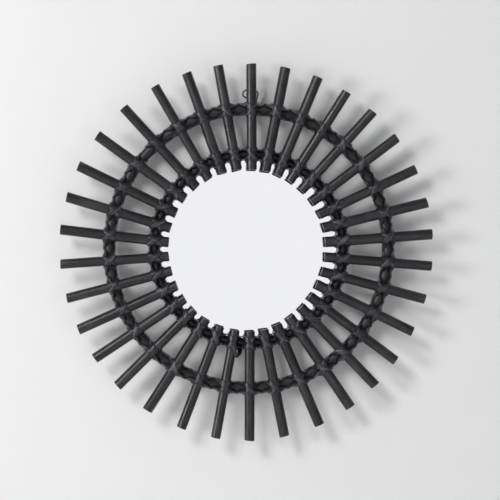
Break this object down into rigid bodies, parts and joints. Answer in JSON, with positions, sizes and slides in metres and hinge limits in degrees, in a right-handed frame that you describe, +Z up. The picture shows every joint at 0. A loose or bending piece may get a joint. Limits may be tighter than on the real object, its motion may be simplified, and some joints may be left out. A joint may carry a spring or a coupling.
{
  "type": "wall mirror",
  "caption": "Round wall mirror framed by a sunburst of black rattan poles lashed with peel to two bent cane hoops, hung by a wire loop.",
  "frame": {"origin": "the point inside the top of the hanging loop's eye that rests on the nail", "axes": "+Z up, +Y from the mirror towards the wall, so the glass faces -Y; +X to the right as seen from the front"},
  "size_m": [0.5964, 0.0519, 0.6034],
  "materials": {
    "poles": "straight rattan poles, black paint, satin, with fine lengthwise grain",
    "hoops": "steam-bent rattan cane, black paint, satin and smooth",
    "peel": "flat strips of rattan peel, black paint, half gloss along the fibres",
    "mirror": "flat silvered float glass with ground edges",
    "board": "thin fibreboard, matt black paint",
    "wire": "soft iron wire, black paint, satin"
  },
  "bodies": {
    "root": {"pole_01": "poles", "pole_02": "poles", "pole_03": "poles", "pole_04": "poles", "pole_05": "poles", "pole_06": "poles", "pole_07": "poles", "pole_08": "poles", "pole_09": "poles", "pole_10": "poles", "pole_11": "poles", "pole_12": "poles", "pole_13": "poles", "pole_14": "poles", "pole_15": "poles", "pole_16": "poles", "pole_17": "poles", "pole_18": "poles", "pole_19": "poles", "pole_20": "poles", "pole_21": "poles", "pole_22": "poles", "pole_23": "poles", "pole_24": "poles", "pole_25": "poles", "pole_26": "poles", "pole_27": "poles", "pole_28": "poles", "pole_29": "poles", "pole_30": "poles", "pole_31": "poles", "pole_32": "poles", "pole_33": "poles", "pole_34": "poles", "outer_hoop": "hoops", "inner_hoop": "hoops", "outer_lashing": "peel", "inner_lashing": "peel", "mirror_glass": "mirror", "backing_board": "board", "hanging_loop": "wire"}
  },
  "joints": []
}
